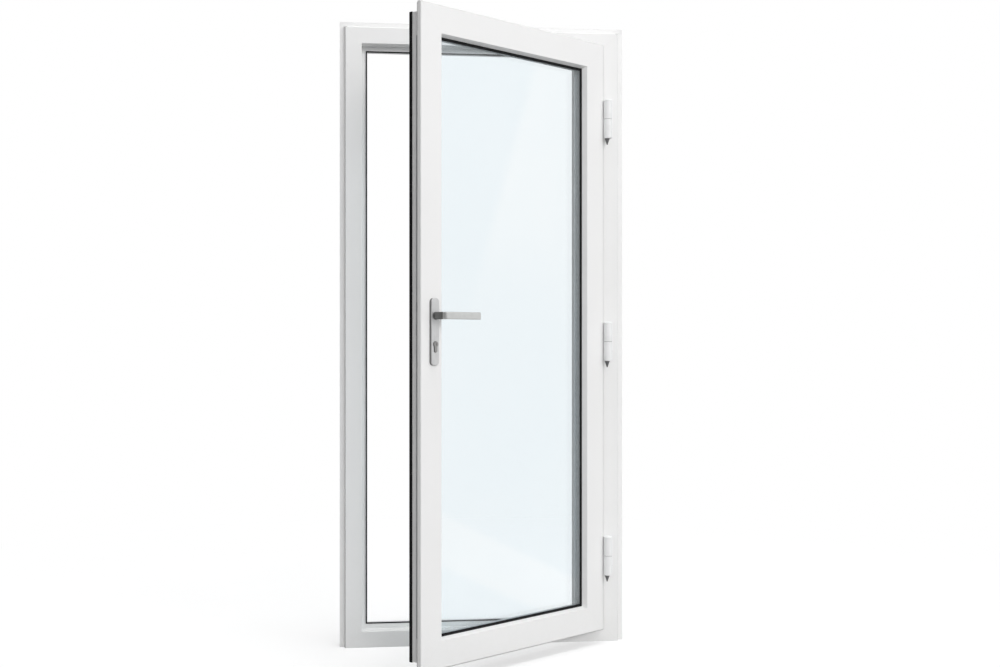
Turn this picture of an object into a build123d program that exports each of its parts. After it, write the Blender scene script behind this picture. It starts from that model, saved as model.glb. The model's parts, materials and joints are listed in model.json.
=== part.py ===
from build123d import *
import os

# Hinged door of white plastic profiles: a four-sided frame and a glazed leaf, open on its hinges.
# Millimetres. The origin is the middle of the sill's underside, X to the right, Z up, and the
# leaf opens towards -Y. Everything is laid out with the leaf closed; the leaf's pieces are then
# turned about the hinge axis to the angle at which the door stands open.

# Overall size
overall_width = 966.0
overall_height = 2100.0
frame_depth = 70.0

# Frame profile, measured inwards from its outer edge and back from its front face
band_width = 14.0
band_setback = 16.0
riser_run = 5.0
face_width = 54.0
stop_projection = 20.0
stop_thickness = 15.0
anchor_groove_width = 8.0
anchor_groove_depth = 4.0
anchor_groove_spacing = 24.0

# Leaf profile, measured inwards from the leaf's edge and back from its front face
overlap = 10.0
rebate_gap = 12.0
seal_gap = 5.0
leaf_depth = 70.0
flange_thickness = 15.0
leaf_face = 85.0
lip_run = 6.0
lip_depth = 19.0
glazing_rebate = 21.0
edge_radius = 2.0

# Hardware groove round the leaf's edge and in the frame's rebate
groove_width = 16.0
groove_depth = 3.0
groove_behind_flange = 20.0

# Glass unit and beads
pane_thickness = 4.0
pane_spacing = 20.0
front_seal_thickness = 3.0
rear_seal_thickness = 3.0
glass_edge_gap = 5.0
seal_show = 4.0
spacer_height = 8.0
spacer_inset = 5.0
bead_run = 6.0
bead_foot_depth = 3.6
bead_foot_width = 4.0
bead_foot_setback = 5.0
bead_foot_clearance = 0.4

# Seals of rubber
seal_clearance = 1.0
seal_rooting = 3.0
seal_slope = 2.0
stop_seal_width = 4.0
stop_seal_inset = 1.0
overlap_seal_width = 4.0
overlap_seal_inset = 3.0
corner_seal_width = 4.5
corner_seal_proud = 2.0
corner_seal_rooting = 9.0

# Hinges
axis_outboard = 3.0
axis_ahead = 17.0
barrel_radius = 14.0
barrel_chamfer = 2.5
seam_chamfer = 0.8
knuckle_height = 65.5
knuckle_gap = 1.0
foot_inset = 2.5
foot_width = 9.0
leaf_plate_thickness = 5.0
leaf_plate_depth = 13.0
pin_radius = 5.0
pin_depth = 45.0
running_clearance = 0.05
hinge_end_distance = 254.0
middle_hinge_drop = 14.0

# Handle set, a lever on the front only and a plain plate with the cylinder on the rear
lever_height = 1104.0
handle_inset = 52.0
cylinder_drop = 85.0
plate_width = 32.0
plate_above = 52.0
plate_below = 148.0
plate_thickness = 9.0
plate_corner = 11.0
plate_edge_radius = 2.5
lever_reach = 64.0
lever_length = 139.0
grip_height = 22.0
grip_thickness = 12.0
neck_width = 19.0
lever_bend_radius = 9.0
lever_tip_radius = 5.0
lever_edge_radius = 3.5
collar_radius = 11.5
collar_height = 4.0
collar_clearance = 0.3
spigot_radius = 9.0
spigot_depth = 5.0
spindle_side = 8.0
spindle_socket = 25.0
spindle_rear_gap = 12.0
spindle_clearance = 1.4
cylinder_radius = 8.5
cylinder_web = 10.0
cylinder_height = 33.0
cylinder_proud = 3.0
cylinder_clearance = 0.8
key_slot_length = 9.0
key_slot_width = 2.2
key_slot_depth = 12.0

# Lock along the leaf's free edge
faceplate_thickness = 2.5
faceplate_corner = 7.5
faceplate_end_gap = 90.0
bolt_proud = 2.0
bolt_depth = 25.0
bolt_clearance = 0.3
latch_width = 12.0
latch_height = 28.0
latch_rise = 26.0
dead_bolt_height = 34.0
dead_bolt_rise = 42.0
hook_width = 9.0
hook_height = 30.0
hook_end_distance = 420.0
keep_thickness = 2.5
keep_margin = 22.0
keep_pocket_depth = 18.0

# Fixings through the jambs and drainage of the sill
fixing_radius = 4.5
fixing_end_distance = 150.0
fixing_spacing = 600.0
drain_length = 32.0
drain_height = 6.0
drain_depth = 10.0
drain_rise = 12.0
drain_spacing = 560.0

# Angle at which the door stands open
rest_angle = 38.6

# Planes and edges that follow from the sizes, with the leaf closed
half_width = overall_width / 2
face_start = band_width + riser_run
rebate_line = face_start + face_width
stop_line = rebate_line + stop_projection
sill_rebate_line = face_width
sill_stop_line = face_width + stop_projection
front = -frame_depth / 2
margin = face_width - overlap
leaf_half = half_width - face_start - margin
leaf_bottom = margin
leaf_top = overall_height - face_start - margin
leaf_front = front - seal_gap - flange_thickness
stop_face = frame_depth - stop_thickness
body_edge = overlap + rebate_gap
lip_edge = leaf_face + lip_run
rebate_floor = lip_edge - glazing_rebate
glass_front = lip_depth + front_seal_thickness
glass_back = glass_front + 2 * pane_thickness + pane_spacing
bead_front = glass_back + rear_seal_thickness
groove_front = flange_thickness + groove_behind_flange - groove_width / 2
leaf_stand = seal_gap + flange_thickness
axis_x = leaf_half + axis_outboard
axis_y = leaf_front - axis_ahead
hinge_axis = Axis((axis_x, axis_y, 0), (0, 0, 1))

middle_hinge = (leaf_bottom + leaf_top) / 2 - middle_hinge_drop
hinge_heights = {
    "bottom": leaf_bottom + hinge_end_distance,
    "middle": middle_hinge,
    "top": leaf_top - hinge_end_distance,
}
handle_x = -leaf_half + handle_inset
cylinder_z = lever_height - cylinder_drop
latch_z = lever_height + latch_rise
dead_bolt_z = cylinder_z + dead_bolt_rise
hook_heights = (leaf_bottom + hook_end_distance, leaf_top - hook_end_distance)

os.makedirs("parts", exist_ok=True)


def write_fixed(piece, name):
    """Label a piece of the frame and write it where it stands."""
    piece.label = name
    export_step(piece, f"parts/{name}.step")


def write_turned(piece, name):
    """Turn a piece of the closed leaf about the hinge axis to the rest angle and write it."""
    turned = piece.rotate(hinge_axis, rest_angle)
    turned.label = name
    export_step(turned, f"parts/{name}.step")


def near(shape, *point):
    """The vertex of a flat outline that lies closest to a point."""
    return shape.vertices().sort_by_distance(point)[0]


# Each side of a rectangle as seen from the front: its start corner, the way inwards and the way
# along, chosen so that the depth of an outline always runs back from the front.
side_directions = {
    "lock": (Vector(1, 0, 0), Vector(0, 0, 1)),
    "top": (Vector(0, 0, -1), Vector(1, 0, 0)),
    "hinge": (Vector(-1, 0, 0), Vector(0, 0, -1)),
    "bottom": (Vector(0, 0, 1), Vector(-1, 0, 0)),
}


def mitred_bar(outline, side, half, low, high, y_front, start_inset=0.0, end_inset=0.0):
    """A bar of one outline along one side of a rectangle, cut at 45 degrees at both ends."""
    inward, along = side_directions[side]
    start = {
        "lock": Vector(-half, y_front, low),
        "top": Vector(-half, y_front, high),
        "hinge": Vector(half, y_front, high),
        "bottom": Vector(half, y_front, low),
    }[side]
    length = high - low if side in ("lock", "hinge") else 2 * half
    start_cut = start + inward * start_inset
    end_cut = start + along * length + inward * end_inset
    with BuildPart() as bar:
        with BuildSketch(Plane(origin=start, x_dir=inward, z_dir=along)):
            add(outline)
        extrude(amount=length)
        split(bisect_by=Plane(origin=start_cut, z_dir=along - inward), keep=Keep.TOP)
        split(bisect_by=Plane(origin=end_cut, z_dir=-along - inward), keep=Keep.TOP)
    return bar.part


def ring(half, low, high, inner, outer, y_start, depth):
    """A rectangular ring between two insets from the edges of a rectangle, extruded backwards."""
    plane = Plane(origin=(0, y_start, (low + high) / 2), x_dir=(1, 0, 0), z_dir=(0, 1, 0))
    width, height = 2 * half, high - low
    with BuildPart() as loop:
        with BuildSketch(plane):
            Rectangle(width - 2 * outer, height - 2 * outer)
            Rectangle(width - 2 * inner, height - 2 * inner, mode=Mode.SUBTRACT)
        extrude(amount=depth)
    return loop.part


# Frame outline: outer wall with two anchor grooves, stepped band, face, rebate and stop
anchor_mid = frame_depth / 2
anchor_grooves = [
    anchor_mid - anchor_groove_spacing / 2,
    anchor_mid + anchor_groove_spacing / 2,
]
frame_groove_front = groove_front - leaf_stand
with BuildSketch() as frame_outline:
    with BuildLine():
        Polyline(
            (0, band_setback),
            (band_width, band_setback),
            (face_start, 0),
            (rebate_line, 0),
            (rebate_line, stop_face),
            (stop_line, stop_face),
            (stop_line, frame_depth),
            (0, frame_depth),
            close=True,
        )
    make_face()
    fillet(near(frame_outline, face_start, 0), edge_radius / 2)
    fillet(near(frame_outline, rebate_line, 0), edge_radius)
    fillet(near(frame_outline, stop_line, stop_face), edge_radius / 2)
    fillet(near(frame_outline, stop_line, frame_depth), edge_radius)
    for groove_mid in anchor_grooves:
        with Locations((0, groove_mid)):
            Rectangle(2 * anchor_groove_depth, anchor_groove_width, mode=Mode.SUBTRACT)
    with Locations((rebate_line, frame_groove_front + groove_width / 2)):
        Rectangle(2 * groove_depth, groove_width, mode=Mode.SUBTRACT)
    with Locations((stop_line - stop_seal_inset - stop_seal_width / 2, stop_face)):
        Rectangle(stop_seal_width, 2 * seal_rooting, mode=Mode.SUBTRACT)

# Sill outline: the same rebate and stop below a plain front face
with BuildSketch() as sill_outline:
    with BuildLine():
        Polyline(
            (0, 0),
            (sill_rebate_line, 0),
            (sill_rebate_line, stop_face),
            (sill_stop_line, stop_face),
            (sill_stop_line, frame_depth),
            (0, frame_depth),
            close=True,
        )
    make_face()
    fillet(near(sill_outline, 0, 0), edge_radius / 2)
    fillet(near(sill_outline, sill_rebate_line, 0), edge_radius)
    fillet(near(sill_outline, sill_stop_line, stop_face), edge_radius / 2)
    fillet(near(sill_outline, sill_stop_line, frame_depth), edge_radius)
    for groove_mid in anchor_grooves:
        with Locations((0, groove_mid)):
            Rectangle(2 * anchor_groove_depth, anchor_groove_width, mode=Mode.SUBTRACT)
    with Locations((sill_rebate_line, frame_groove_front + groove_width / 2)):
        Rectangle(2 * groove_depth, groove_width, mode=Mode.SUBTRACT)
    with Locations((sill_stop_line - stop_seal_inset - stop_seal_width / 2, stop_face)):
        Rectangle(stop_seal_width, 2 * seal_rooting, mode=Mode.SUBTRACT)

# Leaf outline: overlapping flange, body with its hardware groove, sloped lip and glazing rebate
with BuildSketch() as leaf_outline:
    with BuildLine():
        Polyline(
            (0, 0),
            (leaf_face, 0),
            (lip_edge, lip_depth),
            (rebate_floor, lip_depth),
            (rebate_floor, leaf_depth),
            (body_edge, leaf_depth),
            (body_edge, flange_thickness),
            (0, flange_thickness),
            close=True,
        )
    make_face()
    fillet(near(leaf_outline, 0, 0), edge_radius)
    fillet(near(leaf_outline, leaf_face, 0), edge_radius / 2)
    fillet(near(leaf_outline, 0, flange_thickness), edge_radius / 2)
    with Locations((body_edge, groove_front + groove_width / 2)):
        Rectangle(2 * groove_depth, groove_width, mode=Mode.SUBTRACT)
    with Locations((overlap_seal_inset + overlap_seal_width / 2, flange_thickness)):
        Rectangle(overlap_seal_width, 2 * seal_rooting, mode=Mode.SUBTRACT)
    with Locations((body_edge, leaf_depth)):
        Rectangle(2 * (corner_seal_width - corner_seal_proud), 2 * corner_seal_rooting, mode=Mode.SUBTRACT)
    with Locations((rebate_floor, bead_front + bead_foot_setback + bead_foot_width / 2)):
        foot_groove = 2 * (bead_foot_depth + bead_foot_clearance)
        Rectangle(foot_groove, bead_foot_width + bead_foot_clearance, mode=Mode.SUBTRACT)

# Glazing bead outline: a wedge with a sloped face and a foot that snaps into the rebate's groove
with BuildSketch() as bead_outline:
    with BuildLine():
        Polyline(
            (rebate_floor, bead_front),
            (lip_edge, bead_front),
            (lip_edge, bead_front + edge_radius),
            (lip_edge - bead_run, leaf_depth),
            (rebate_floor, leaf_depth),
            close=True,
        )
    make_face()
    fillet(near(bead_outline, lip_edge - bead_run, leaf_depth), edge_radius)
    with Locations((rebate_floor, bead_front + bead_foot_setback + bead_foot_width / 2)):
        Rectangle(2 * bead_foot_depth, bead_foot_width)

# Frame members
head_bar = mitred_bar(frame_outline.sketch, "top", half_width, 0, overall_height, front)
with BuildPart() as frame_head:
    add(head_bar)
write_fixed(frame_head.part, "frame_head")

sill_half = half_width - face_start
sill_bar = mitred_bar(sill_outline.sketch, "bottom", sill_half, 0, overall_height, front)
with BuildPart() as frame_sill:
    add(sill_bar)
    # Drainage slots in the rear face, low down
    with BuildSketch(Plane(origin=(0, -front, drain_rise), x_dir=(1, 0, 0), z_dir=(0, -1, 0))):
        with GridLocations(drain_spacing / 2, 1, 3, 1):
            SlotOverall(drain_length, drain_height)
    extrude(amount=drain_depth, mode=Mode.SUBTRACT)
write_fixed(frame_sill.part, "frame_sill")

# Fixing holes run across each jamb between its two anchor grooves, behind the hardware groove
fixing_heights = [
    fixing_end_distance,
    overall_height / 2 - fixing_spacing / 2,
    overall_height / 2 + fixing_spacing / 2,
    overall_height - fixing_end_distance,
]
lock_bar = mitred_bar(
    frame_outline.sketch, "lock", half_width, 0, overall_height, front, start_inset=face_start
)
keep_y = front + frame_groove_front + groove_width / 2
keep_seat_x = -half_width + rebate_line - groove_depth
with BuildPart() as frame_jamb_lock:
    add(lock_bar)
    with BuildSketch(Plane(origin=(-half_width, 0, 0), x_dir=(0, 1, 0), z_dir=(1, 0, 0))):
        with Locations(*[(0, z) for z in fixing_heights]):
            Circle(fixing_radius)
    extrude(amount=rebate_line, mode=Mode.SUBTRACT)
    # Pockets behind the keeps for the latch, the dead bolt and the hooks
    with BuildSketch(Plane(origin=(keep_seat_x, keep_y, 0), x_dir=(0, -1, 0), z_dir=(-1, 0, 0))):
        with Locations((0, latch_z)):
            Rectangle(latch_width, latch_height)
        with Locations((0, dead_bolt_z)):
            Rectangle(latch_width, dead_bolt_height)
        with Locations(*[(0, z) for z in hook_heights]):
            Rectangle(hook_width, hook_height)
    extrude(amount=keep_pocket_depth, mode=Mode.SUBTRACT)
write_fixed(frame_jamb_lock.part, "frame_jamb_lock")

hinge_bar = mitred_bar(
    frame_outline.sketch, "hinge", half_width, 0, overall_height, front, end_inset=face_start
)
with BuildPart() as frame_jamb_hinge:
    add(hinge_bar)
    with BuildSketch(Plane(origin=(half_width, 0, 0), x_dir=(0, -1, 0), z_dir=(-1, 0, 0))):
        with Locations(*[(0, z) for z in fixing_heights]):
            Circle(fixing_radius)
    extrude(amount=rebate_line, mode=Mode.SUBTRACT)
write_fixed(frame_jamb_hinge.part, "frame_jamb_hinge")

# Rubber seal in the groove of the stop, all round; its lip stops just short of the closed leaf
stop_seal_rect = (half_width - face_start, 0, overall_height - face_start)
stop_seal_back = front + stop_face + seal_rooting
stop_seal_front = leaf_front + leaf_depth + seal_clearance
stop_seal_outer = face_width + stop_projection - stop_seal_inset - stop_seal_width
stop_seal_ring = ring(
    *stop_seal_rect,
    stop_seal_outer + stop_seal_width,
    stop_seal_outer,
    stop_seal_front,
    stop_seal_back - stop_seal_front,
)
with BuildPart() as frame_seal:
    add(stop_seal_ring)
    lip_face = frame_seal.faces().sort_by(Axis.Y)[0]
    chamfer(lip_face.inner_wires()[0].edges(), stop_seal_width / 4)
write_fixed(frame_seal.part, "frame_seal")

# Keeps let into the rebate groove of the lock jamb, each with the opening for its bolt
keep_openings = {
    "keep_centre": [(latch_z, latch_width, latch_height), (dead_bolt_z, latch_width, dead_bolt_height)],
    "keep_lower": [(hook_heights[0], hook_width, hook_height)],
    "keep_upper": [(hook_heights[1], hook_width, hook_height)],
}
for keep_name, openings in keep_openings.items():
    keep_low = min(z - h / 2 for z, w, h in openings) - keep_margin
    keep_high = max(z + h / 2 for z, w, h in openings) + keep_margin
    keep_plane = Plane(
        origin=(keep_seat_x, keep_y, (keep_low + keep_high) / 2), x_dir=(0, 1, 0), z_dir=(1, 0, 0)
    )
    with BuildPart() as keep:
        with BuildSketch(keep_plane):
            Rectangle(groove_width, keep_high - keep_low)
            for opening_z, opening_width, opening_height in openings:
                with Locations((0, opening_z - (keep_low + keep_high) / 2)):
                    Rectangle(opening_width, opening_height, mode=Mode.SUBTRACT)
        extrude(amount=keep_thickness)
    write_fixed(keep.part, keep_name)

# Leaf members
leaf_names = {
    "top": "leaf_rail_top",
    "bottom": "leaf_rail_bottom",
    "lock": "leaf_stile_lock",
    "hinge": "leaf_stile_hinge",
}
leaf_bars = {
    side: mitred_bar(leaf_outline.sketch, side, leaf_half, leaf_bottom, leaf_top, leaf_front)
    for side in leaf_names
}
for side in ("top", "bottom", "hinge"):
    with BuildPart() as member:
        add(leaf_bars[side])
    write_turned(member.part, leaf_names[side])

# The lock stile is bored for the spindle and the cylinder and pocketed for the bolts
face_plane = Plane(origin=(handle_x, leaf_front, 0), x_dir=(1, 0, 0), z_dir=(0, -1, 0))
spindle_bore = spindle_side * 0.5 * 2**0.5 + spindle_clearance
faceplate_x = -leaf_half + body_edge + groove_depth - faceplate_thickness
groove_floor_x = -leaf_half + body_edge + groove_depth
bolt_y = leaf_front + groove_front + groove_width / 2
bolt_tip_x = -leaf_half + body_edge - bolt_proud
bolt_sizes = {
    "latch_bolt": [(latch_z, latch_width, latch_height)],
    "dead_bolt": [(dead_bolt_z, latch_width, dead_bolt_height)],
    "hook_bolts": [(z, hook_width, hook_height) for z in hook_heights],
}
all_bolts = [size for sizes in bolt_sizes.values() for size in sizes]


def cylinder_outline(grow):
    """Outline of the lock cylinder, a round barrel over a narrower round-ended web."""
    with BuildSketch() as profile:
        Circle(cylinder_radius + grow)
        web_drop = cylinder_height - cylinder_radius - cylinder_web / 2
        with Locations((0, -web_drop / 2)):
            Rectangle(cylinder_web + 2 * grow, web_drop)
        with Locations((0, -web_drop)):
            Circle(cylinder_web / 2 + grow)
    return profile.sketch


with BuildPart() as leaf_stile_lock:
    add(leaf_bars["lock"])
    with BuildSketch(face_plane):
        with Locations((0, lever_height)):
            Circle(spindle_bore)
        with Locations((0, cylinder_z)):
            add(cylinder_outline(cylinder_clearance))
    extrude(amount=-leaf_depth, mode=Mode.SUBTRACT)
    with BuildSketch(Plane(origin=(groove_floor_x, bolt_y, 0), x_dir=(0, 1, 0), z_dir=(1, 0, 0))):
        for bolt_z, bolt_width, bolt_height in all_bolts:
            with Locations((0, bolt_z)):
                Rectangle(bolt_width + 2 * bolt_clearance, bolt_height + 2 * bolt_clearance)
    extrude(amount=bolt_depth, mode=Mode.SUBTRACT)
write_turned(leaf_stile_lock.part, "leaf_stile_lock")

# Long faceplate of the lock in the hardware groove, with an opening for each bolt
faceplate_low = leaf_bottom + faceplate_end_gap
faceplate_high = leaf_top - faceplate_end_gap
faceplate_mid = (faceplate_low + faceplate_high) / 2
with BuildPart() as lock_faceplate:
    with BuildSketch(Plane(origin=(faceplate_x, bolt_y, faceplate_mid), x_dir=(0, 1, 0), z_dir=(1, 0, 0))):
        RectangleRounded(groove_width, faceplate_high - faceplate_low, faceplate_corner)
        for bolt_z, bolt_width, bolt_height in all_bolts:
            with Locations((0, bolt_z - faceplate_mid)):
                Rectangle(
                    bolt_width + 2 * bolt_clearance, bolt_height + 2 * bolt_clearance, mode=Mode.SUBTRACT
                )
    extrude(amount=faceplate_thickness)
write_turned(lock_faceplate.part, "lock_faceplate")

# Bolts drawn back, each just proud of the faceplate and seated at the end of its pocket
for bolt_name, sizes in bolt_sizes.items():
    with BuildPart() as bolt:
        with BuildSketch(Plane(origin=(bolt_tip_x, bolt_y, 0), x_dir=(0, 1, 0), z_dir=(1, 0, 0))):
            for bolt_z, bolt_width, bolt_height in sizes:
                with Locations((0, bolt_z)):
                    Rectangle(bolt_width, bolt_height)
        extrude(amount=bolt_proud + groove_depth + bolt_depth)
        nose = bolt.faces().filter_by(Axis.X).group_by(Axis.X)[0].edges()
        chamfer(nose.filter_by(Axis.Z).group_by(Axis.Y)[0], bolt_proud / 2)
    write_turned(bolt.part, bolt_name)

# Glazing beads on the rear side
for side in leaf_names:
    bead_bar = mitred_bar(bead_outline.sketch, side, leaf_half, leaf_bottom, leaf_top, leaf_front)
    with BuildPart() as bead:
        add(bead_bar)
    write_turned(bead.part, f"bead_{side}")

# Two panes with a spacer between their edges
glass_inset = rebate_floor + glass_edge_gap
glass_width = 2 * (leaf_half - glass_inset)
glass_height = leaf_top - leaf_bottom - 2 * glass_inset
leaf_middle = (leaf_bottom + leaf_top) / 2
pane_starts = {
    "glass_front": leaf_front + glass_front,
    "glass_rear": leaf_front + glass_back - pane_thickness,
}
for pane_name, pane_y in pane_starts.items():
    with BuildPart() as pane:
        with BuildSketch(Plane(origin=(0, pane_y, leaf_middle), x_dir=(1, 0, 0), z_dir=(0, 1, 0))):
            Rectangle(glass_width, glass_height)
        extrude(amount=pane_thickness)
    write_turned(pane.part, pane_name)

leaf_rect = (leaf_half, leaf_bottom, leaf_top)
spacer_outer = glass_inset + spacer_inset
spacer_ring = ring(
    *leaf_rect,
    spacer_outer + spacer_height,
    spacer_outer,
    leaf_front + glass_front + pane_thickness,
    pane_spacing,
)
with BuildPart() as glass_spacer:
    add(spacer_ring)
write_turned(glass_spacer.part, "glass_spacer")

# Glazing seals: flat under the lip and the beads, with a sloped edge that shows round the glass
seal_edge = lip_edge + seal_show
front_seal_ring = ring(
    *leaf_rect, seal_edge, glass_inset, leaf_front + lip_depth, front_seal_thickness
)
with BuildPart() as glazing_seal_front:
    add(front_seal_ring)
    sight_face = glazing_seal_front.faces().sort_by(Axis.Y)[0]
    chamfer(sight_face.inner_wires()[0].edges(), seal_slope)
write_turned(glazing_seal_front.part, "glazing_seal_front")

rear_seal_ring = ring(
    *leaf_rect, seal_edge, glass_inset, leaf_front + glass_back, rear_seal_thickness
)
with BuildPart() as glazing_seal_rear:
    add(rear_seal_ring)
    sight_face = glazing_seal_rear.faces().sort_by(Axis.Y)[-1]
    chamfer(sight_face.inner_wires()[0].edges(), seal_slope)
write_turned(glazing_seal_rear.part, "glazing_seal_rear")

# Seal behind the flange, which meets the frame's face, and seal at the body's rear corner
overlap_seal_front = leaf_front + flange_thickness - seal_rooting
overlap_seal_ring = ring(
    *leaf_rect,
    overlap_seal_inset + overlap_seal_width,
    overlap_seal_inset,
    overlap_seal_front,
    seal_rooting + seal_gap - seal_clearance,
)
with BuildPart() as leaf_seal_overlap:
    add(overlap_seal_ring)
    lip_face = leaf_seal_overlap.faces().sort_by(Axis.Y)[-1]
    chamfer(lip_face.inner_wires()[0].edges(), overlap_seal_width / 4)
write_turned(leaf_seal_overlap.part, "leaf_seal_overlap")

corner_seal_depth = corner_seal_rooting + front + stop_face - seal_clearance - leaf_front - leaf_depth
corner_seal_ring = ring(
    *leaf_rect,
    body_edge - corner_seal_proud + corner_seal_width,
    body_edge - corner_seal_proud,
    leaf_front + leaf_depth - corner_seal_rooting,
    corner_seal_depth,
)
with BuildPart() as leaf_seal_corner:
    add(corner_seal_ring)
    lip_face = leaf_seal_corner.faces().sort_by(Axis.Y)[-1]
    chamfer(lip_face.outer_wire().edges(), corner_seal_width / 3)
write_turned(leaf_seal_corner.part, "leaf_seal_corner")

# Hinges: the lower knuckle stands on the frame's face on a foot behind its barrel, the upper
# one runs into a plate on the edge of the leaf's flange
seam_half = knuckle_gap / 2
web_height = knuckle_height - barrel_chamfer - seam_chamfer
for place, hinge_z in hinge_heights.items():
    seam_low = hinge_z - seam_half
    seam_high = hinge_z + seam_half
    with BuildPart() as hinge_frame:
        with BuildSketch(Plane(origin=(axis_x, axis_y, seam_low), z_dir=(0, 0, 1))):
            Circle(barrel_radius)
        extrude(amount=-knuckle_height)
        ends = hinge_frame.faces().filter_by(Axis.Z).sort_by(Axis.Z)
        chamfer(ends[0].edges(), barrel_chamfer)
        chamfer(ends[-1].edges(), seam_chamfer)
        foot_top = seam_low - seam_chamfer
        with BuildSketch(Plane(origin=(axis_x, axis_y, foot_top), x_dir=(1, 0, 0), z_dir=(0, 0, 1))):
            foot_length = front - axis_y
            with Locations((foot_inset + foot_width / 2, foot_length / 2)):
                Rectangle(foot_width, foot_length)
        extrude(amount=-web_height)
        with Locations(Plane(origin=(axis_x, axis_y, seam_low), z_dir=(0, 0, 1))):
            Hole(pin_radius + running_clearance, pin_depth)
    write_fixed(hinge_frame.part, f"hinge_frame_{place}")

    with BuildPart() as hinge_leaf:
        with BuildSketch(Plane(origin=(axis_x, axis_y, seam_high), z_dir=(0, 0, 1))):
            Circle(barrel_radius)
        extrude(amount=knuckle_height)
        ends = hinge_leaf.faces().filter_by(Axis.Z).sort_by(Axis.Z)
        chamfer(ends[0].edges(), seam_chamfer)
        chamfer(ends[-1].edges(), barrel_chamfer)
        plate_low = seam_high + seam_chamfer
        with BuildSketch(Plane(origin=(axis_x, axis_y, plate_low), x_dir=(1, 0, 0), z_dir=(0, 0, 1))):
            plate_length = axis_ahead + leaf_plate_depth
            with Locations((-axis_outboard + leaf_plate_thickness / 2, plate_length / 2)):
                Rectangle(leaf_plate_thickness, plate_length)
        extrude(amount=web_height)
        with Locations(Plane(origin=(axis_x, axis_y, seam_high), z_dir=(0, 0, -1))):
            Hole(pin_radius + running_clearance, pin_depth)
    write_turned(hinge_leaf.part, f"hinge_leaf_{place}")

    with BuildPart() as hinge_pin:
        pin_bottom = seam_low - pin_depth
        pin_length = 2 * pin_depth + knuckle_gap - running_clearance
        with BuildSketch(Plane(origin=(axis_x, axis_y, pin_bottom), z_dir=(0, 0, 1))):
            Circle(pin_radius)
        extrude(amount=pin_length)
        chamfer(hinge_pin.faces().sort_by(Axis.Z)[-1].edges(), pin_radius / 5)
    write_fixed(hinge_pin.part, f"hinge_pin_{place}")

# Handle plates with the cylinder's opening; only the front one is bored for the lever
plate_height = plate_above + plate_below
plate_mid = lever_height + (plate_above - plate_below) / 2
leaf_mid_plane = Plane(origin=(0, leaf_front + leaf_depth / 2, 0), z_dir=(0, 1, 0))
with BuildPart() as plate_blank:
    with BuildSketch(face_plane):
        with Locations((0, plate_mid)):
            RectangleRounded(plate_width, plate_height, plate_corner)
    extrude(amount=plate_thickness)
    fillet(plate_blank.faces().sort_by(Axis.Y)[0].edges(), plate_edge_radius)
    with BuildSketch(face_plane):
        with Locations((0, cylinder_z)):
            add(cylinder_outline(cylinder_clearance))
    extrude(amount=plate_thickness, mode=Mode.SUBTRACT)

with BuildPart() as backplate_rear:
    mirror(plate_blank.part, about=leaf_mid_plane)
write_turned(backplate_rear.part, "backplate_rear")

with BuildPart() as backplate_front:
    add(plate_blank.part)
    with BuildSketch(face_plane):
        with Locations((0, lever_height)):
            Circle(spigot_radius + running_clearance)
    extrude(amount=plate_thickness, mode=Mode.SUBTRACT)
write_turned(backplate_front.part, "backplate_front")

# Lever: a flat bar bent square off its neck, with a collar and a spigot that turns in the plate
lever_plane = Plane(origin=(handle_x, leaf_front, lever_height), x_dir=(1, 0, 0), z_dir=(0, 0, 1))
collar_front = -plate_thickness - collar_height
collar_back = -plate_thickness - collar_clearance
grip_back = grip_thickness - lever_reach
with BuildPart() as lever:
    with BuildSketch(lever_plane) as lever_outline:
        with BuildLine():
            Polyline(
                (-neck_width / 2, collar_front),
                (-neck_width / 2, -lever_reach),
                (lever_length, -lever_reach),
                (lever_length, grip_back),
                (neck_width / 2, grip_back),
                (neck_width / 2, collar_front),
                close=True,
            )
        make_face()
        fillet(near(lever_outline, -neck_width / 2, -lever_reach), lever_bend_radius)
        fillet(near(lever_outline, neck_width / 2, grip_back), lever_bend_radius / 2)
        fillet(near(lever_outline, lever_length, -lever_reach), lever_tip_radius)
        fillet(near(lever_outline, lever_length, grip_back), lever_tip_radius)
    extrude(amount=grip_height / 2, both=True)
    rims = lever.edges().group_by(Axis.Z)
    fillet(rims[0] + rims[-1], lever_edge_radius)
    with BuildSketch(face_plane.offset(-collar_back)):
        with Locations((0, lever_height)):
            Circle(collar_radius)
    extrude(amount=collar_back - collar_front)
    with BuildSketch(face_plane.offset(plate_thickness - spigot_depth)):
        with Locations((0, lever_height)):
            Circle(spigot_radius)
    extrude(amount=-collar_back - plate_thickness + spigot_depth)
    with BuildSketch(face_plane.offset(plate_thickness - spigot_depth)):
        with Locations((0, lever_height)):
            Rectangle(spindle_side, spindle_side)
    extrude(amount=spindle_socket, mode=Mode.SUBTRACT)
write_turned(lever.part, "lever")

# Square spindle from the lever's socket into the lock, and the lock cylinder with its key slots
spindle_start = plate_thickness - spigot_depth + spindle_socket
with BuildPart() as spindle:
    with BuildSketch(face_plane.offset(spindle_start)):
        with Locations((0, lever_height)):
            Rectangle(spindle_side, spindle_side)
    extrude(amount=-spindle_start - leaf_depth + spindle_rear_gap)
write_turned(spindle.part, "spindle")

cylinder_start = plate_thickness + cylinder_proud
cylinder_length = leaf_depth + 2 * cylinder_start
with BuildPart() as cylinder:
    with BuildSketch(face_plane.offset(cylinder_start)):
        with Locations((0, cylinder_z)):
            add(cylinder_outline(0))
    extrude(amount=-cylinder_length)
    with BuildSketch(face_plane.offset(cylinder_start), face_plane.offset(cylinder_start - cylinder_length)):
        with Locations((0, cylinder_z)):
            Rectangle(key_slot_width, key_slot_length)
    extrude(amount=key_slot_depth, both=True, mode=Mode.SUBTRACT)
write_turned(cylinder.part, "cylinder")
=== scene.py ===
"""Looks of a glazed hinged door of white plastic profiles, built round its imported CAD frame."""

import json
import logging
import math
from dataclasses import dataclass
from enum import Enum
from typing import Any, Sequence

import bmesh
import bpy
from mathutils import Matrix, Vector

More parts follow.
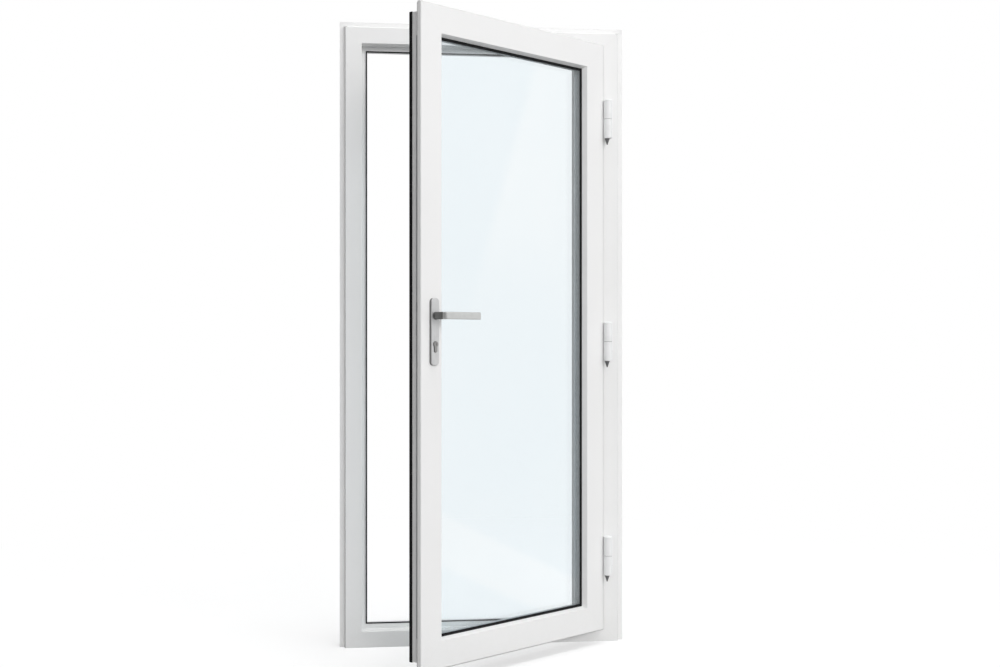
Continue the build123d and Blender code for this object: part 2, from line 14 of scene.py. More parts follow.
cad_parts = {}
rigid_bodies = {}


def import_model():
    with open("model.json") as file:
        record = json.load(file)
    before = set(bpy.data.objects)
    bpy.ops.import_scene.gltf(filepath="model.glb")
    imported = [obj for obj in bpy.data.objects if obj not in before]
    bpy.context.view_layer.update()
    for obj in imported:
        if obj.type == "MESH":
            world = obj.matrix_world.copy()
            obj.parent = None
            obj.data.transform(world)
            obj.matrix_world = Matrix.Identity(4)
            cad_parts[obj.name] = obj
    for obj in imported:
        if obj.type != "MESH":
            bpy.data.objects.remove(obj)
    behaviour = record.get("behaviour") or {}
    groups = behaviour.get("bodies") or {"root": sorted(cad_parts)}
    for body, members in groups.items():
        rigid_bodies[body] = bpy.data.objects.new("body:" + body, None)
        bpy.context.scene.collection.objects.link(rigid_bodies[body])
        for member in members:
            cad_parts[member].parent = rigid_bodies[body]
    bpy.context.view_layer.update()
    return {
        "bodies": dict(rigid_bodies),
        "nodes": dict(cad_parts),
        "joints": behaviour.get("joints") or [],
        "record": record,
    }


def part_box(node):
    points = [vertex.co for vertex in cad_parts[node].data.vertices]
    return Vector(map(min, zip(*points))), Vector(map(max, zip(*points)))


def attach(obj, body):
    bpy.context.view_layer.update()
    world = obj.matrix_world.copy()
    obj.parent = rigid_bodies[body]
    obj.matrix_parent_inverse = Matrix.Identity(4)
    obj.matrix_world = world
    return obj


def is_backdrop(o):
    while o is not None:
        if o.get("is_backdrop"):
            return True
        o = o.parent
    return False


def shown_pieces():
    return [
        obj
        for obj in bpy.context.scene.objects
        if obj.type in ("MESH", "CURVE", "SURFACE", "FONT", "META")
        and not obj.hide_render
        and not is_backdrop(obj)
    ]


LOG = logging.getLogger("door")
MM = 0.001
Colour = tuple[float, float, float]
Point = Sequence[float]


# Shader maths


class Signal:
    """A socket of a material's nodes that takes part in Python expressions."""

    def __init__(self, graph: "Graph", socket: bpy.types.NodeSocket) -> None:
        """Keep the node tree and the socket that carries the value."""
        self.graph = graph
        self.socket = socket

    def _math(self, operation: str, *values: Any) -> "Signal":
        """Add one Math node.

        Args:
            operation: The Math node's operation.
            values: Its operands, signals or plain numbers.

        Returns:
            The node's result.
        """
        return self.graph.node(
            "ShaderNodeMath", {"operation": operation}, dict(enumerate(values))
        )

    def __add__(self, other: Any) -> "Signal":
        """Sum."""
        return self._math("ADD", self, other)

    def __radd__(self, other: Any) -> "Signal":
        """Sum with a number on the left."""
        return self._math("ADD", other, self)

    def __sub__(self, other: Any) -> "Signal":
        """Difference."""
        return self._math("SUBTRACT", self, other)

    def __rsub__(self, other: Any) -> "Signal":
        """Difference from a number on the left."""
        return self._math("SUBTRACT", other, self)

    def __mul__(self, other: Any) -> "Signal":
        """Product."""
        return self._math("MULTIPLY", self, other)

    def __rmul__(self, other: Any) -> "Signal":
        """Product with a number on the left."""
        return self._math("MULTIPLY", other, self)

    def __abs__(self) -> "Signal":
        """Size without sign."""
        return self._math("ABSOLUTE", self)

    def __lt__(self, other: Any) -> "Signal":
        """One where the value is smaller than the other, else zero."""
        return self._math("LESS_THAN", self, other)

    def least(self, other: Any) -> "Signal":
        """The smaller of two values."""
        return self._math("MINIMUM", self, other)

    def most(self, other: Any) -> "Signal":
        """The larger of two values."""
        return self._math("MAXIMUM", self, other)

    def power(self, exponent: float) -> "Signal":
        """The value raised to a power."""
        return self._math("POWER", self, exponent)

    def sine(self) -> "Signal":
        """Sine of the value in radians."""
        return self._math("SINE", self)

    def smooth(self, start: float, end: float) -> "Signal":
        """Ease from zero at start to one at end.

        Args:
            start: Value that gives zero.
            end: Value that gives one; it may be the smaller of the two.

        Returns:
            The eased value.
        """
        low, high = min(start, end), max(start, end)
        eased = self.graph.node(
            "ShaderNodeMapRange",
            {"interpolation_type": "SMOOTHSTEP"},
            {"Value": self, "From Min": low, "From Max": high},
        )
        return eased if start < end else 1 - eased


class Graph:
    """Node tree of one material or of the surroundings."""

    def __init__(self, owner: bpy.types.Material | bpy.types.World) -> None:
        """Start with an empty node tree."""
        owner.use_nodes = True
        self.owner = owner
        self.tree = owner.node_tree
        self.tree.nodes.clear()

    @classmethod
    def of_material(cls, name: str) -> "Graph":
        """Nodes of a new material of that name."""
        return cls(bpy.data.materials.new(name))

    def node(
        self,
        kind: str,
        settings: dict[str, Any] | None = None,
        inputs: dict[Any, Any] | None = None,
        output: Any = 0,
    ) -> Signal:
        """Add a node, its settings first and then the values or links of its sockets.

        Args:
            kind: The node's type.
            settings: Attributes of the node.
            inputs: Values, colours or signals by socket name or number.
            output: Name or number of the socket that is given back.

        Returns:
            The chosen output.
        """
        made = self.tree.nodes.new(kind)
        for key, value in (settings or {}).items():
            setattr(made, key, value)
        for key, value in (inputs or {}).items():
            socket = made.inputs[key]
            if isinstance(value, Signal):
                self.tree.links.new(value.socket, socket)
            elif socket.type == "RGBA" and len(value) == 3:
                socket.default_value = (*value, 1.0)
            else:
                socket.default_value = value
        return Signal(self, made.outputs[output])

    def place(self) -> Signal:
        """Position on the piece, in the frame that all pieces share at rest."""
        return self.node("ShaderNodeTexCoord", output="Object")

    def parts(self, vector: Signal) -> tuple[Signal, Signal, Signal]:
        """The three coordinates of a vector."""
        split = self.node("ShaderNodeSeparateXYZ", inputs={0: vector})
        outputs = split.socket.node.outputs
        return tuple(Signal(self, outputs[axis]) for axis in range(3))

    def scaled(self, vector: Signal, scale: Point) -> Signal:
        """A vector stretched along each axis."""
        return self.node(
            "ShaderNodeVectorMath", {"operation": "MULTIPLY"}, {0: vector, 1: tuple(scale)}
        )

    def noise(self, vector: Signal, scale: float, detail: float = 2.0) -> Signal:
        """Soft noise from zero to one."""
        return self.node(
            "ShaderNodeTexNoise", {}, {"Vector": vector, "Scale": scale, "Detail": detail}
        )

    def blend(self, factor: Any, first: Any, second: Any) -> Signal:
        """Colour that runs from the first to the second as the factor grows."""
        return self.node(
            "ShaderNodeMix", {"data_type": "RGBA"}, {0: factor, 6: first, 7: second}, output=2
        )

    def bump(
        self, height: Signal, strength: float, distance: float, base: Signal | None = None
    ) -> Signal:
        """Normal that follows a height over the surface.

        Args:
            height: The height, about zero to one.
            strength: How much of it is kept.
            distance: What a height of one stands for, in metres.
            base: Normal that it starts from.

        Returns:
            The normal.
        """
        inputs = {"Height": height, "Strength": strength, "Distance": distance}
        if base:
            inputs["Normal"] = base
        return self.node("ShaderNodeBump", {}, inputs)

    def surface(self, **sockets: Any) -> bpy.types.Material:
        """Close the material with a Principled surface.

        Args:
            sockets: Socket values or links, with underscores in place of spaces.

        Returns:
            The finished material.
        """
        named = {key.replace("_", " "): value for key, value in sockets.items()}
        shader = self.node("ShaderNodeBsdfPrincipled", {}, named)
        return self.close(shader)

    def close(self, shader: Signal, kind: str = "ShaderNodeOutputMaterial") -> Any:
        """Link a shader to the output.

        Args:
            shader: The finished shader.
            kind: Type of the output node.

        Returns:
            The material or the surroundings that the nodes belong to.
        """
        end = self.tree.nodes.new(kind)
        self.tree.links.new(shader.socket, end.inputs["Surface"])
        return self.owner


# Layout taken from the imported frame


class Side(Enum):
    """The two faces of the door."""

    FRONT = -1
    REAR = 1


@dataclass(frozen=True)
class Layout:
    """Where things are with the door closed, and the turn that opens it to its rest place."""

    pivot: Vector
    open_turn: Matrix
    open_angle: float

    @classmethod
    def from_frame(cls, frame: dict[str, Any]) -> "Layout":
        """Read the hinge line and the rest angle.

        Args:
            frame: What the frame loader gave.

        Returns:
            The layout.
        """
        swing = next(j for j in frame["joints"] if j["name"] == "leaf_swing")
        pivot = Vector(swing["pos_m"])
        angle = -math.radians(swing["range_deg"][0])
        turn = Matrix.Translation(pivot) @ Matrix.Rotation(angle, 4, "Z")
        return cls(pivot, turn @ Matrix.Translation(-pivot), angle)

    def closed_points(self, node: str) -> list[Vector]:
        """Corners of a leaf's node with the door closed."""
        back = self.open_turn.inverted()
        return [back @ v.co for v in bpy.data.objects[node].data.vertices]

    def closed_box(self, node: str) -> tuple[Vector, Vector]:
        """Lowest and highest corner of a leaf's node with the door closed.

        Args:
            node: Name of the CAD node.

        Returns:
            Both corners.
        """
        points = self.closed_points(node)
        low = Vector(min(p[axis] for p in points) for axis in range(3))
        high = Vector(max(p[axis] for p in points) for axis in range(3))
        return low, high

    def closed_place(self, graph: Graph) -> Signal:
        """Position on a leaf's piece as if the door were closed, for its material."""
        return graph.node(
            "ShaderNodeVectorRotate",
            {"rotation_type": "Z_AXIS"},
            {"Vector": graph.place(), "Center": tuple(self.pivot), "Angle": -self.open_angle},
        )


# Finishes


@dataclass(frozen=True)
class PaintedStepShade:
    """Painted shade on the slope between the frame's outer band and its face."""

    start: float
    face: float
    run: float = 5.0 * MM
    setback: float = 16.0 * MM
    spill: float = 1.0 * MM
    reach: float = 0.47
    strength: float = 0.9
    colour: Colour = (0.05, 0.05, 0.05)

    def over(self, graph: Graph, colour: Signal, inset: Signal, depth: Signal) -> Signal:
        """Lay the painted shade over a colour.

        Args:
            graph: Nodes of the material.
            colour: Colour without the painted shade.
            inset: Distance from the frame's outer edge.
            depth: Y position.

        Returns:
            Colour with the painted shade.
        """
        across = abs(inset - (self.start + self.run / 2)) < self.run / 2 + self.spill
        along = abs(depth - (self.face + self.setback / 2)) < self.reach * self.setback
        return graph.blend(across * along * self.strength, colour, self.colour)


@dataclass(frozen=True)
class ProfilePlastic:
    """White plastic profile with faint extrusion lines, cleaned weld seams, light dust and, where
    given, painted shade on the frame's step.
    """

    name: str
    half: float
    low: float
    high: float
    colour: Colour = (0.866, 0.865, 0.864)
    shade: Colour = (0.80, 0.80, 0.79)
    roughness: float = 0.24
    seam: float = 0.7 * MM
    lines: float = 900.0
    edge: float = 0.0
    step: PaintedStepShade | None = None

    def make(self, layout: Layout | None = None) -> bpy.types.Material:
        """Build the material.

        Args:
            layout: Given for the leaf, whose pieces stand turned.

        Returns:
            The material.
        """
        graph = Graph.of_material(self.name)
        place = layout.closed_place(graph) if layout else graph.place()
        x, y, z = graph.parts(place)
        inset = self.half - abs(x)
        rise = (z - self.low).least(self.high - z)
        upright = inset < rise
        seam = abs(inset - rise).smooth(self.seam, 0.3 * self.seam)
        across_upright = graph.noise(graph.scaled(place, (1.0, 1.0, 0.003)), self.lines)
        across_level = graph.noise(graph.scaled(place, (0.003, 1.0, 1.0)), self.lines)
        lines = across_upright * upright + across_level * (1 - upright)
        cloud = graph.noise(place, 3.0, 4.0)
        dust = graph.noise(place, 60.0, 5.0) * z.smooth(0.35, 0.0)
        stain = (cloud.smooth(0.35, 0.8) * 0.25 + dust * 0.45 + seam * 0.55).least(1.0)
        colour = graph.blend(stain, self.colour, self.shade)
        # Painted shade: the frame's step is darkened where it faces away from the light.
        if self.step:
            colour = self.step.over(graph, colour, inset, y)
        rough = self.roughness + cloud * 0.08 + lines * 0.05 + seam * 0.2
        height = lines * 0.25 - seam * 1.5
        normal = graph.bump(height, 0.35, 0.2 * MM)
        if self.edge:
            rolled = inset.least(rise).smooth(0.0, self.edge)
            normal = graph.bump(rolled, 1.0, 0.6 * self.edge, normal)
        return graph.surface(
            Base_Color=colour,
            Roughness=rough,
            Normal=normal,
            Specular_IOR_Level=0.45,
        )


@dataclass(frozen=True)
class CoatedMetal:
    """Powder-coated hinge body with a fine orange peel; in near black it is also the painted shade
    of the hinge's neck and washer.
    """

    name: str = "hinge_coating"
    colour: Colour = (0.85, 0.855, 0.86)
    grain: float = 900.0

    def make(self) -> bpy.types.Material:
        """Build the material."""
        graph = Graph.of_material(self.name)
        place = graph.place()
        peel = graph.noise(place, self.grain, 3.0)
        cloud = graph.noise(place, 40.0, 3.0)
        darker = tuple(0.94 * c for c in self.colour)
        return graph.surface(
            Base_Color=graph.blend(cloud.smooth(0.4, 0.8), self.colour, darker),
            Roughness=0.3 + peel * 0.12,
            Normal=graph.bump(peel, 0.25, 0.15 * MM),
        )


class Grain(Enum):
    """Direction in which a metal was brushed, as a stretch of the noise along each axis."""

    UPRIGHT = (1.0, 1.0, 0.02)
    LEVEL = (0.02, 1.0, 1.0)
    NONE = (1.0, 1.0, 1.0)


@dataclass(frozen=True)
class Metal:
    """Bare or plated metal with brushing and faint handling marks, and painted shade between two
    depths where given.
    """

    name: str
    colour: Colour
    roughness: float
    grain: Grain = Grain.NONE
    scale: float = 1400.0
    spangle: float = 0.0
    metallic: float = 1.0
    painted_shade_depths: tuple[float, float] | None = None
    worn: float = 0.78
    painted_shade_tone: float = 0.27
    painted_shade_worn_tone: float = 0.8

    def make(self, layout: Layout | None = None) -> bpy.types.Material:
        """Build the material.

        Args:
            layout: Given for the leaf, whose pieces stand turned.

        Returns:
            The material.
        """
        graph = Graph.of_material(self.name)
        place = layout.closed_place(graph) if layout else graph.place()
        brushed = graph.noise(graph.scaled(place, self.grain.value), self.scale, 4.0)
        marks = graph.noise(place, 55.0, 5.0).smooth(0.45, 0.75)
        colour: Any = self.colour
        darker: Any = tuple(self.worn * c for c in self.colour)
        # Painted shade: darkens the plate's sides and the lever's neck, which face away from the
        # light.
        if self.painted_shade_depths:
            depth = graph.parts(place)[1]
            start, end = self.painted_shade_depths
            dim = depth.smooth(start, start + 1.5 * MM) * (depth < end)
            painted_shade_colour = tuple(self.painted_shade_tone * c for c in self.colour)
            colour = graph.blend(dim, self.colour, painted_shade_colour)
            darker = graph.blend(dim, darker, tuple(self.painted_shade_worn_tone * c for c in painted_shade_colour))
        tone = brushed.smooth(0.3, 0.8) * 0.5 + marks * 0.25
        if self.spangle:
            cells = graph.node(
                "ShaderNodeTexVoronoi", {}, {"Vector": place, "Scale": 260.0}, output="Color"
            )
            tone = tone + graph.parts(cells)[0] * self.spangle
        return graph.surface(
            Base_Color=graph.blend(tone.least(1.0), colour, darker),
            Metallic=self.metallic,
            Roughness=self.roughness + brushed * 0.14 + marks * 0.06,
            Normal=graph.bump(brushed, 0.18, 0.1 * MM),
        )


@dataclass(frozen=True)
class Rubber:
    """Rubber with a fine matt skin and faint patches of bloom."""

    name: str = "rubber_seal"
    colour: Colour = (0.008, 0.008, 0.009)
    bloom: Colour = (0.016, 0.016, 0.017)
    gloss: float = 0.15

    def make(self) -> bpy.types.Material:
        """Build the material."""
        graph = Graph.of_material(self.name)
        place = graph.place()
        skin = graph.noise(place, 1600.0, 3.0)
        bloom = graph.noise(place, 35.0, 5.0).smooth(0.45, 0.85)
        return graph.surface(
            Base_Color=graph.blend(bloom, self.colour, self.bloom),
            Specular_IOR_Level=self.gloss,
            Roughness=0.5 + skin * 0.25,
            Normal=graph.bump(skin, 0.3, 0.1 * MM),
        )


@dataclass(frozen=True)
class ClearGlass:
    """Clear pane with a faint cool tint, slanting zones of painted reflection and soft random
    patches, both letting lighter colour through.
    """

    name: str = "glass"
    tint: Colour = (0.958, 0.976, 0.984)
    painted_reflection: Colour = (0.982, 0.990, 0.992)
    head_on: float = 0.03
    upper_line: tuple[float, float, float] = (-0.05, 1.48, 0.37)
    lower_line: tuple[float, float, float] = (-0.16, 0.36, -0.45)
    band: float = 0.10

    def make(self, layout: Layout) -> bpy.types.Material:
        """Build the material.

        Args:
            layout: The leaf's layout, for positions with the door closed.

        Returns:
            The material.
        """
        graph = Graph.of_material(self.name)
        place = layout.closed_place(graph)
        x, _, z = graph.parts(place)
        start, height, lean = self.upper_line
        beyond = x - (z - height) * lean
        # Painted reflection: brighter slanting zones stand for the studio reflected in the pane.
        upper = beyond.smooth(start - 0.02, start + 0.02) * z.smooth(1.0, 1.5)
        start, height, lean = self.lower_line
        above = abs(z - height - (x - start) * lean)
        reflection_zones = upper + above.smooth(self.band, 0.6 * self.band) * z.smooth(0.9, 0.7)
        cloud = graph.noise(place, 2.2, 3.0).smooth(0.3, 0.8)
        tinted = graph.node("ShaderNodeBsdfTransparent", {}, {"Color": self.tint})
        lighter = graph.node("ShaderNodeBsdfTransparent", {}, {"Color": self.painted_reflection})
        factor = (reflection_zones * 0.45 + cloud * 0.2).least(1.0)
        through = graph.node("ShaderNodeMixShader", {}, {0: factor, 1: tinted, 2: lighter})
        gloss = graph.node(
            "ShaderNodeBsdfGlossy", {}, {"Color": (1.0, 1.0, 1.0), "Roughness": 0.02}
        )
        slant = graph.node("ShaderNodeLayerWeight", {}, {"Blend": 0.5}, output="Facing")
        mirror = self.head_on + (1 - self.head_on) * slant.power(5.0)
        both = graph.node("ShaderNodeMixShader", {}, {0: mirror, 1: through, 2: gloss})
        return graph.close(both)


@dataclass(frozen=True)
class SpacerBar:
    """Mill-finish spacer bar with a row of fine drying slots along each run."""

    name: str = "spacer_bar"
    colour: Colour = (0.70, 0.71, 0.72)
    pitch: float = 4.0 * MM

    def make(self, layout: Layout) -> bpy.types.Material:
        """Build the material.

        Args:
            layout: The leaf's layout, for positions with the door closed.

        Returns:
            The material.
        """
        graph = Graph.of_material(self.name)
        place = layout.closed_place(graph)
        x, _, z = graph.parts(place)
        along = (x + z) * (2 * math.pi / self.pitch)
        slots = along.sine().smooth(0.75, 0.95)
        rolled = graph.noise(graph.scaled(place, (0.1, 1.0, 0.1)), 700.0, 3.0)
        return graph.surface(
            Base_Color=graph.blend(slots * 0.7, self.colour, (0.12, 0.12, 0.12)),
            Metallic=0.25,
            Roughness=0.35 + rolled * 0.15,
            Normal=graph.bump(rolled - slots, 0.2, 0.2 * MM),
        )


@dataclass(frozen=True)
class Palette:
    """Every material of the door, made once."""

    frame_plastic: bpy.types.Material
    leaf_plastic: bpy.types.Material
    hinge_coating: bpy.types.Material
    neck_shade: bpy.types.Material
    pin_steel: bpy.types.Material
    rubber_seal: bpy.types.Material
    bead_seal: bpy.types.Material
    glass: bpy.types.Material
    spacer_bar: bpy.types.Material
    handle_satin: bpy.types.Material
    lever_satin: bpy.types.Material
    cylinder_nickel: bpy.types.Material
    lock_steel: bpy.types.Material

    @classmethod
    def make(cls, layout: Layout) -> "Palette":
        """Build all finishes.

        Args:
            layout: The leaf's layout, which the grain and the weld seams follow.

        Returns:
            The palette.
        """
        head_low, head_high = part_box("frame_head")
        sill_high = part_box("frame_sill")[1]
        band = head_high.x - sill_high.x
        leaf_low, leaf_high = layout.closed_box("leaf_rail_bottom")
        leaf_top = layout.closed_box("leaf_rail_top")[1].z
        # Painted shade for the slope of the frame's step.
        step_shade = PaintedStepShade(band, head_low.y)
        frame = ProfilePlastic("frame_plastic", head_high.x, -band, head_high.z, step=step_shade)
        leaf = ProfilePlastic("leaf_plastic", leaf_high.x, leaf_low.z, leaf_top, edge=4 * MM)
        face = layout.closed_box("leaf_stile_lock")[0].y
        plate_front = layout.closed_box("backplate_front")[0].y
        lever_front = layout.closed_box("lever")[0].y
        # Depths that bound the painted shade on the plate's sides and the lever's neck.
        plate_edge, grip_depth = 1.5 * MM, 12.5 * MM
        plate = Metal(
            "handle_satin",
            (0.63, 0.634, 0.638),
            0.34,
            Grain.UPRIGHT,
            metallic=0.6,
            painted_shade_depths=(plate_front + plate_edge, face + MM),
        )
        lever = Metal(
            "lever_satin",
            (0.60, 0.608, 0.60),
            0.32,
            Grain.LEVEL,
            metallic=0.6,
            painted_shade_depths=(lever_front + grip_depth, face + MM),
        )
        nickel = Metal("cylinder_nickel", (0.34, 0.338, 0.335), 0.26)
        zinc = Metal("lock_steel", (0.29, 0.295, 0.30), 0.34, Grain.UPRIGHT, spangle=0.35)
        return cls(
            frame_plastic=frame.make(),
            leaf_plastic=leaf.make(layout),
            hinge_coating=CoatedMetal().make(),
            neck_shade=CoatedMetal("neck_shade", (0.11, 0.11, 0.112)).make(),
            pin_steel=Metal("pin_steel", (0.56, 0.56, 0.57), 0.22, Grain.UPRIGHT).make(),
            rubber_seal=Rubber().make(),
            bead_seal=Rubber("bead_seal", (0.80, 0.81, 0.815), (0.86, 0.87, 0.87)).make(),
            glass=ClearGlass().make(layout),
            spacer_bar=SpacerBar().make(layout),
            handle_satin=plate.make(layout),
            lever_satin=lever.make(layout),
            cylinder_nickel=nickel.make(layout),
            lock_steel=zinc.make(layout),
        )


def dress(material: bpy.types.Material, *nodes: str) -> None:
    """Give CAD nodes a material.

    Args:
        material: The finish.
        nodes: Names of the CAD nodes.
    """
    for node in nodes:
        mesh = bpy.data.objects[node].data
        mesh.materials.clear()
        mesh.materials.append(material)


# Small hardware


class Recess(Enum):
    """Shape of a screw's drive."""

    CROSS = "cross"
    HEX = "hex"


@dataclass(frozen=True)
class Screw:
    """Head of a screw with its drive sunk into it; the local Z axis points out of the surface."""

    radius: float
    drive: Recess
    proud: float = 0.25 * MM
    depth: float = 1.4 * MM
    rim: float = 0.35 * MM
    hex_size: float = 0.52
    cross_reach: float = 0.55
    cross_half: float = 0.13
    segments: int = 32

    def drive_outline(self) -> list[tuple[float, float]]:
        """Corners of the drive, counter-clockwise."""
        if self.drive is Recess.HEX:
            size = self.hex_size * self.radius
            turns = [math.radians(60 * k) for k in range(6)]
            return [(size * math.cos(t), size * math.sin(t)) for t in turns]
        reach, half = self.cross_reach * self.radius, self.cross_half * self.radius
        arm = [(reach, -half), (reach, half), (half, half)]
        quarter = [(1, 0, 0, 1), (0, -1, 1, 0), (-1, 0, 0, -1), (0, 1, -1, 0)]
        return [(a * x + b * y, c * x + d * y) for a, b, c, d in quarter for x, y in arm]

    def add_to(self, mesh: bmesh.types.BMesh, where: Matrix) -> None:
        """Add the head to a mesh.

        Args:
            mesh: The mesh that takes it.
            where: Place and direction of the head.
        """
        outline = (
            (self.radius, -self.rim),
            (self.radius, self.proud - self.rim),
            (self.radius - self.rim, self.proud),
        )
        rings = [circle_loop(mesh, where, spot, self.segments) for spot in outline]
        for lower, upper in zip(rings, rings[1:]):
            join_loops(mesh, lower, upper)
        corners = self.drive_outline()
        mouth = [mesh.verts.new(where @ Vector((x, y, self.proud))) for x, y in corners]
        floor_height = self.proud - self.depth
        floor = [mesh.verts.new(where @ Vector((x, y, floor_height))) for x, y in corners]
        join_loops(mesh, mouth, floor)
        centre = mesh.verts.new(where @ Vector((0, 0, floor_height)))
        for first, second in zip(floor, floor[1:] + floor[:1]):
            mesh.faces.new((first, second, centre))
        edges = []
        for chain in (rings[-1], mouth):
            for first, second in zip(chain, chain[1:] + chain[:1]):
                edges.append(mesh.edges.get((first, second)) or mesh.edges.new((first, second)))
        bmesh.ops.triangle_fill(mesh, use_beauty=True, edges=edges)


@dataclass(frozen=True)
class Turned:
    """A round piece turned from an outline of radius and height; Z points out of the surface."""

    outline: tuple[tuple[float, float], ...]
    segments: int = 40

    def add_to(self, mesh: bmesh.types.BMesh, where: Matrix) -> None:
        """Add the piece to a mesh.

        Args:
            mesh: The mesh that takes it.
            where: Place and direction of its axis.
        """
        loops = [circle_loop(mesh, where, spot, self.segments) for spot in self.outline]
        for lower, upper in zip(loops, loops[1:]):
            join_loops(mesh, lower, upper)


def circle_loop(
    mesh: bmesh.types.BMesh, where: Matrix, spot: tuple[float, float], segments: int
) -> list[bmesh.types.BMVert]:
    """Add a circle of corners, or one corner where the radius is zero.

    Args:
        mesh: The mesh that takes them.
        where: Place and direction of the circle's axis.
        spot: Radius, and height along the axis.
        segments: Count of the corners.

    Returns:
        The corners, counter-clockwise.
    """
    radius, height = spot
    if radius == 0:
        return [mesh.verts.new(where @ Vector((0, 0, height)))]
    turns = [2 * math.pi * k / segments for k in range(segments)]
    return [
        mesh.verts.new(where @ Vector((radius * math.cos(t), radius * math.sin(t), height)))
        for t in turns
    ]


def join_loops(
    mesh: bmesh.types.BMesh, lower: list[bmesh.types.BMVert], upper: list[bmesh.types.BMVert]
) -> None:
    """Fill the band between two loops of corners, or between a loop and a point.

    Args:
        mesh: The mesh that takes the faces.
        lower: First loop.
        upper: Second loop, of the same count, or a single corner.
    """
    if len(lower) == 1:
        lower, upper = upper, lower
    count = len(lower)
    for k in range(count):
        following = (k + 1) % count
        if len(upper) == 1:
            mesh.faces.new((lower[k], lower[following], upper[0]))
        else:
            mesh.faces.new((lower[k], lower[following], upper[following], upper[k]))


def facing(point: Point, outward: Point) -> Matrix:
    """Place whose Z axis points outward.

    Args:
        point: Origin.
        outward: Direction of the local Z axis.

    Returns:
        The placing matrix.
    """
    turn = Vector(outward).to_track_quat("Z", "Y").to_matrix().to_4x4()
    return Matrix.Translation(Vector(point)) @ turn


@dataclass
class Bench:
    """Makes pieces from hardware shapes and gives them to the door's bodies."""

    layout: Layout
    sharp_angle: float = math.radians(30)

    def assemble(
        self,
        name: str,
        body: str,
        material: bpy.types.Material,
        shapes: Sequence[tuple[Screw | Turned, Matrix]],
        slot: str,
    ) -> None:
        """Join shapes into one piece; those of the leaf and the levers are turned open.

        Args:
            name: The piece's name.
            body: CAD body that it moves with.
            material: Its finish.
            shapes: Each shape with its place, the door closed.
            slot: Material slot of the record that it belongs to.
        """
        mesh = bmesh.new()
        for shape, where in shapes:
            shape.add_to(mesh, where)
        self.finish_piece(name, body, material, mesh, slot)

    def finish_piece(
        self,
        name: str,
        body: str,
        material: bpy.types.Material,
        mesh: bmesh.types.BMesh,
        slot: str,
    ) -> None:
        """Turn a mesh into a piece of a body.

        Args:
            name: The piece's name.
            body: CAD body that it moves with.
            material: Its finish.
            mesh: The mesh, laid out with the door closed.
            slot: Material slot of the record that it belongs to; not used.
        """
        if body != "frame":
            bmesh.ops.transform(mesh, matrix=self.layout.open_turn, verts=mesh.verts)
        bmesh.ops.recalc_face_normals(mesh, faces=mesh.faces)
        data = bpy.data.meshes.new(name)
        mesh.to_mesh(data)
        mesh.free()
        piece = bpy.data.objects.new(name, data)
        bpy.context.scene.collection.objects.link(piece)
        data.materials.append(material)
        data.shade_smooth()
        data.set_sharp_from_angle(angle=self.sharp_angle)
        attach(piece, body)


# Sub-assemblies


@dataclass
class Assembly:
    """A part of the door that dresses its CAD nodes and adds its small pieces."""

    palette: Palette
    bench: Bench

    def build(self) -> None:
        """Dress the nodes and add the pieces."""
        raise NotImplementedError


@dataclass
class OuterFrame(Assembly):
    """Head, sill and two jambs with the seal on the stop."""

    def build(self) -> None:
        """Dress the frame's profiles and seal."""
        members = ("frame_head", "frame_sill", "frame_jamb_lock", "frame_jamb_hinge")
        dress(self.palette.frame_plastic, *members)
        dress(self.palette.rubber_seal, "frame_seal")


@dataclass
class Leaf(Assembly):
    """Rails, stiles and glazing beads of the opening leaf with its seals."""

    def build(self) -> None:
        """Dress the leaf's profiles, beads and seals."""
        members = ("leaf_rail_top", "leaf_rail_bottom", "leaf_stile_lock", "leaf_stile_hinge")
        beads = ("bead_top", "bead_bottom", "bead_lock", "bead_hinge")
        dress(self.palette.leaf_plastic, *members, *beads)
        dress(self.palette.rubber_seal, "leaf_seal_overlap", "leaf_seal_corner")


